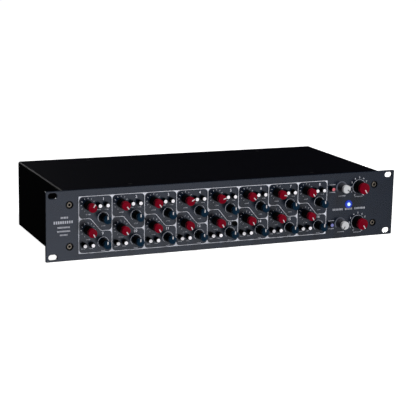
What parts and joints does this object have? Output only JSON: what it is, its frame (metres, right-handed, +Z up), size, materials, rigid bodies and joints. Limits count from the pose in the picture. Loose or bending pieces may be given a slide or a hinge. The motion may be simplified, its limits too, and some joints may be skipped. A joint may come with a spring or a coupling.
{
  "type": "rack summing mixer",
  "caption": "Rack-width line summing mixer with rows of level and pan knobs and push buttons on a slotted front panel, output knobs at the right and sockets at the rear.",
  "frame": {"origin": "centre of the front panel's front face, which is the centre of the four rack slots", "axes": "+X to the right along the panel as seen from the front, +Y into the rack, +Z up"},
  "size_m": [0.4826, 0.233, 0.0876],
  "materials": {
    "panel_paint": "satin slate-grey paint",
    "case_paint": "semi-gloss black powder coat",
    "screw_brass": "olive passivated",
    "screw_black": "black oxide",
    "circuit_board": "green solder mask",
    "pot_metal": "satin",
    "black_plastic": "matt",
    "blue_lens": "tinted lens",
    "bright_metal": "nickel plate",
    "ribbon_grey": "soft",
    "winding": "wrapped tape",
    "red_cap": "satin",
    "blue_cap": "satin",
    "grey_cap": "satin",
    "white_lens": "translucent",
    "red_lens": "translucent",
    "blue_button_lens": "translucent"
  },
  "bodies": {
    "case": {"front_panel": "panel_paint", "top_cover": "case_paint", "chassis_tray": "case_paint", "panel_screws": "screw_brass", "cover_screws": "screw_black", "control_board": "circuit_board", "potentiometers": "pot_metal", "switch_bodies": "black_plastic", "power_lamp": "blue_lens", "standoffs": "bright_metal", "main_board": "circuit_board", "ribbon_cable": "ribbon_grey", "output_transformers": "bright_metal", "power_transformer": "winding", "xlr_connectors": "black_plastic", "dsub_connectors": "bright_metal", "power_inlet": "black_plastic", "rear_screws": "screw_black"},
    "level_knob_01": {"level_knob_01": "red_cap"},
    "level_knob_02": {"level_knob_02": "red_cap"},
    "level_knob_03": {"level_knob_03": "red_cap"},
    "level_knob_04": {"level_knob_04": "red_cap"},
    "level_knob_05": {"level_knob_05": "red_cap"},
    "level_knob_06": {"level_knob_06": "red_cap"},
    "level_knob_07": {"level_knob_07": "red_cap"},
    "level_knob_08": {"level_knob_08": "red_cap"},
    "level_knob_09": {"level_knob_09": "red_cap"},
    "level_knob_10": {"level_knob_10": "red_cap"},
    "level_knob_11": {"level_knob_11": "red_cap"},
    "level_knob_12": {"level_knob_12": "red_cap"},
    "level_knob_13": {"level_knob_13": "red_cap"},
    "level_knob_14": {"level_knob_14": "red_cap"},
    "level_knob_15": {"level_knob_15": "red_cap"},
    "level_knob_16": {"level_knob_16": "red_cap"},
    "pan_knob_01": {"pan_knob_01": "blue_cap"},
    "pan_knob_02": {"pan_knob_02": "blue_cap"},
    "pan_knob_03": {"pan_knob_03": "blue_cap"},
    "pan_knob_04": {"pan_knob_04": "blue_cap"},
    "pan_knob_05": {"pan_knob_05": "blue_cap"},
    "pan_knob_06": {"pan_knob_06": "blue_cap"},
    "pan_knob_07": {"pan_knob_07": "blue_cap"},
    "pan_knob_08": {"pan_knob_08": "blue_cap"},
    "pan_knob_09": {"pan_knob_09": "blue_cap"},
    "pan_knob_10": {"pan_knob_10": "blue_cap"},
    "pan_knob_11": {"pan_knob_11": "blue_cap"},
    "pan_knob_12": {"pan_knob_12": "blue_cap"},
    "pan_knob_13": {"pan_knob_13": "blue_cap"},
    "pan_knob_14": {"pan_knob_14": "blue_cap"},
    "pan_knob_15": {"pan_knob_15": "blue_cap"},
    "pan_knob_16": {"pan_knob_16": "blue_cap"},
    "tone_knob_1": {"tone_knob_1": "grey_cap"},
    "tone_knob_2": {"tone_knob_2": "grey_cap"},
    "master_knob_1": {"master_knob_1": "red_cap"},
    "master_knob_2": {"master_knob_2": "red_cap"},
    "upper_row_left_buttons": {"upper_row_left_buttons": "white_lens"},
    "upper_row_right_buttons": {"upper_row_right_buttons": "white_lens"},
    "lower_row_left_buttons": {"lower_row_left_buttons": "white_lens"},
    "lower_row_right_buttons": {"lower_row_right_buttons": "white_lens"},
    "red_tone_button": {"red_tone_button": "red_lens"},
    "blue_tone_button": {"blue_tone_button": "blue_button_lens"}
  },
  "joints": [
    {"name": "level_knob_01_turn", "type": "hinge", "parent": "case", "child": "level_knob_01", "pos_m": [-0.188, 0, 0.0243], "axis": [0, 1, 0], "range_deg": [-185, 115]},
    {"name": "level_knob_02_turn", "type": "hinge", "parent": "case", "child": "level_knob_02", "pos_m": [-0.1455, 0, 0.0243], "axis": [0, 1, 0], "range_deg": [-290, 10]},
    {"name": "level_knob_03_turn", "type": "hinge", "parent": "case", "child": "level_knob_03", "pos_m": [-0.103, 0, 0.0243], "axis": [0, 1, 0], "range_deg": [-295, 5]},
    {"name": "level_knob_04_turn", "type": "hinge", "parent": "case", "child": "level_knob_04", "pos_m": [-0.0605, 0, 0.0243], "axis": [0, 1, 0], "range_deg": [-210, 90]},
    {"name": "level_knob_05_turn", "type": "hinge", "parent": "case", "child": "level_knob_05", "pos_m": [-0.018, 0, 0.0243], "axis": [0, 1, 0], "range_deg": [-225, 75]},
    {"name": "level_knob_06_turn", "type": "hinge", "parent": "case", "child": "level_knob_06", "pos_m": [0.0245, 0, 0.0243], "axis": [0, 1, 0], "range_deg": [-285, 15]},
    {"name": "level_knob_07_turn", "type": "hinge", "parent": "case", "child": "level_knob_07", "pos_m": [0.067, 0, 0.0243], "axis": [0, 1, 0], "range_deg": [-250, 50]},
    {"name": "level_knob_08_turn", "type": "hinge", "parent": "case", "child": "level_knob_08", "pos_m": [0.1095, 0, 0.0243], "axis": [0, 1, 0], "range_deg": [-300, 0]},
    {"name": "level_knob_09_turn", "type": "hinge", "parent": "case", "child": "level_knob_09", "pos_m": [-0.188, 0, -0.007], "axis": [0, 1, 0], "range_deg": [-300, 0]},
    {"name": "level_knob_10_turn", "type": "hinge", "parent": "case", "child": "level_knob_10", "pos_m": [-0.1455, 0, -0.007], "axis": [0, 1, 0], "range_deg": [-300, 0]},
    {"name": "level_knob_11_turn", "type": "hinge", "parent": "case", "child": "level_knob_11", "pos_m": [-0.103, 0, -0.007], "axis": [0, 1, 0], "range_deg": [-300, 0]},
    {"name": "level_knob_12_turn", "type": "hinge", "parent": "case", "child": "level_knob_12", "pos_m": [-0.0605, 0, -0.007], "axis": [0, 1, 0], "range_deg": [-300, 0]},
    {"name": "level_knob_13_turn", "type": "hinge", "parent": "case", "child": "level_knob_13", "pos_m": [-0.018, 0, -0.007], "axis": [0, 1, 0], "range_deg": [-300, 0]},
    {"name": "level_knob_14_turn", "type": "hinge", "parent": "case", "child": "level_knob_14", "pos_m": [0.0245, 0, -0.007], "axis": [0, 1, 0], "range_deg": [-300, 0]},
    {"name": "level_knob_15_turn", "type": "hinge", "parent": "case", "child": "level_knob_15", "pos_m": [0.067, 0, -0.007], "axis": [0, 1, 0], "range_deg": [-300, 0]},
    {"name": "level_knob_16_turn", "type": "hinge", "parent": "case", "child": "level_knob_16", "pos_m": [0.1095, 0, -0.007], "axis": [0, 1, 0], "range_deg": [-300, 0]},
    {"name": "pan_knob_01_turn", "type": "hinge", "parent": "case", "child": "pan_knob_01", "pos_m": [-0.1684, 0, 0.0076], "axis": [0, 1, 0], "range_deg": [-150, 150]},
    {"name": "pan_knob_02_turn", "type": "hinge", "parent": "case", "child": "pan_knob_02", "pos_m": [-0.1259, 0, 0.0076], "axis": [0, 1, 0], "range_deg": [-150, 150]},
    {"name": "pan_knob_03_turn", "type": "hinge", "parent": "case", "child": "pan_knob_03", "pos_m": [-0.0834, 0, 0.0076], "axis": [0, 1, 0], "range_deg": [-150, 150]},
    {"name": "pan_knob_04_turn", "type": "hinge", "parent": "case", "child": "pan_knob_04", "pos_m": [-0.0409, 0, 0.0076], "axis": [0, 1, 0], "range_deg": [-150, 150]},
    {"name": "pan_knob_05_turn", "type": "hinge", "parent": "case", "child": "pan_knob_05", "pos_m": [0.0016, 0, 0.0076], "axis": [0, 1, 0], "range_deg": [-150, 150]},
    {"name": "pan_knob_06_turn", "type": "hinge", "parent": "case", "child": "pan_knob_06", "pos_m": [0.0441, 0, 0.0076], "axis": [0, 1, 0], "range_deg": [-150, 150]},
    {"name": "pan_knob_07_turn", "type": "hinge", "parent": "case", "child": "pan_knob_07", "pos_m": [0.0866, 0, 0.0076], "axis": [0, 1, 0], "range_deg": [-150, 150]},
    {"name": "pan_knob_08_turn", "type": "hinge", "parent": "case", "child": "pan_knob_08", "pos_m": [0.1291, 0, 0.0076], "axis": [0, 1, 0], "range_deg": [-150, 150]},
    {"name": "pan_knob_09_turn", "type": "hinge", "parent": "case", "child": "pan_knob_09", "pos_m": [-0.1684, 0, -0.0237], "axis": [0, 1, 0], "range_deg": [-150, 150]},
    {"name": "pan_knob_10_turn", "type": "hinge", "parent": "case", "child": "pan_knob_10", "pos_m": [-0.1259, 0, -0.0237], "axis": [0, 1, 0], "range_deg": [-150, 150]},
    {"name": "pan_knob_11_turn", "type": "hinge", "parent": "case", "child": "pan_knob_11", "pos_m": [-0.0834, 0, -0.0237], "axis": [0, 1, 0], "range_deg": [-150, 150]},
    {"name": "pan_knob_12_turn", "type": "hinge", "parent": "case", "child": "pan_knob_12", "pos_m": [-0.0409, 0, -0.0237], "axis": [0, 1, 0], "range_deg": [-150, 150]},
    {"name": "pan_knob_13_turn", "type": "hinge", "parent": "case", "child": "pan_knob_13", "pos_m": [0.0016, 0, -0.0237], "axis": [0, 1, 0], "range_deg": [-150, 150]},
    {"name": "pan_knob_14_turn", "type": "hinge", "parent": "case", "child": "pan_knob_14", "pos_m": [0.0441, 0, -0.0237], "axis": [0, 1, 0], "range_deg": [-150, 150]},
    {"name": "pan_knob_15_turn", "type": "hinge", "parent": "case", "child": "pan_knob_15", "pos_m": [0.0866, 0, -0.0237], "axis": [0, 1, 0], "range_deg": [-150, 150]},
    {"name": "pan_knob_16_turn", "type": "hinge", "parent": "case", "child": "pan_knob_16", "pos_m": [0.1291, 0, -0.0237], "axis": [0, 1, 0], "range_deg": [-150, 150]},
    {"name": "tone_knob_1_turn", "type": "hinge", "parent": "case", "child": "tone_knob_1", "pos_m": [0.1618, 0, 0.0251], "axis": [0, 1, 0], "range_deg": [-275, 25]},
    {"name": "tone_knob_2_turn", "type": "hinge", "parent": "case", "child": "tone_knob_2", "pos_m": [0.1618, 0, -0.0237], "axis": [0, 1, 0], "range_deg": [0, 300]},
    {"name": "master_knob_1_turn", "type": "hinge", "parent": "case", "child": "master_knob_1", "pos_m": [0.1883, 0, 0.0243], "axis": [0, 1, 0], "range_deg": [-300, 0]},
    {"name": "master_knob_2_turn", "type": "hinge", "parent": "case", "child": "master_knob_2", "pos_m": [0.1883, 0, -0.0238], "axis": [0, 1, 0], "range_deg": [-300, 0]},
    {"name": "upper_row_left_buttons_press", "type": "slide", "parent": "case", "child": "upper_row_left_buttons", "axis": [0, 1, 0], "range_m": [0, 0.003], "stiffness_N_per_m": 1200, "springref_m": -0.001},
    {"name": "upper_row_right_buttons_press", "type": "slide", "parent": "case", "child": "upper_row_right_buttons", "axis": [0, 1, 0], "range_m": [0, 0.003], "stiffness_N_per_m": 1200, "springref_m": -0.001},
    {"name": "lower_row_left_buttons_press", "type": "slide", "parent": "case", "child": "lower_row_left_buttons", "axis": [0, 1, 0], "range_m": [0, 0.003], "stiffness_N_per_m": 1200, "springref_m": -0.001},
    {"name": "lower_row_right_buttons_press", "type": "slide", "parent": "case", "child": "lower_row_right_buttons", "axis": [0, 1, 0], "range_m": [0, 0.003], "stiffness_N_per_m": 1200, "springref_m": -0.001},
    {"name": "red_tone_button_press", "type": "slide", "parent": "case", "child": "red_tone_button", "axis": [0, 1, 0], "range_m": [0, 0.003], "stiffness_N_per_m": 150, "springref_m": -0.001},
    {"name": "blue_tone_button_press", "type": "slide", "parent": "case", "child": "blue_tone_button", "axis": [0, 1, 0], "range_m": [0, 0.003], "stiffness_N_per_m": 150, "springref_m": -0.001}
  ]
}
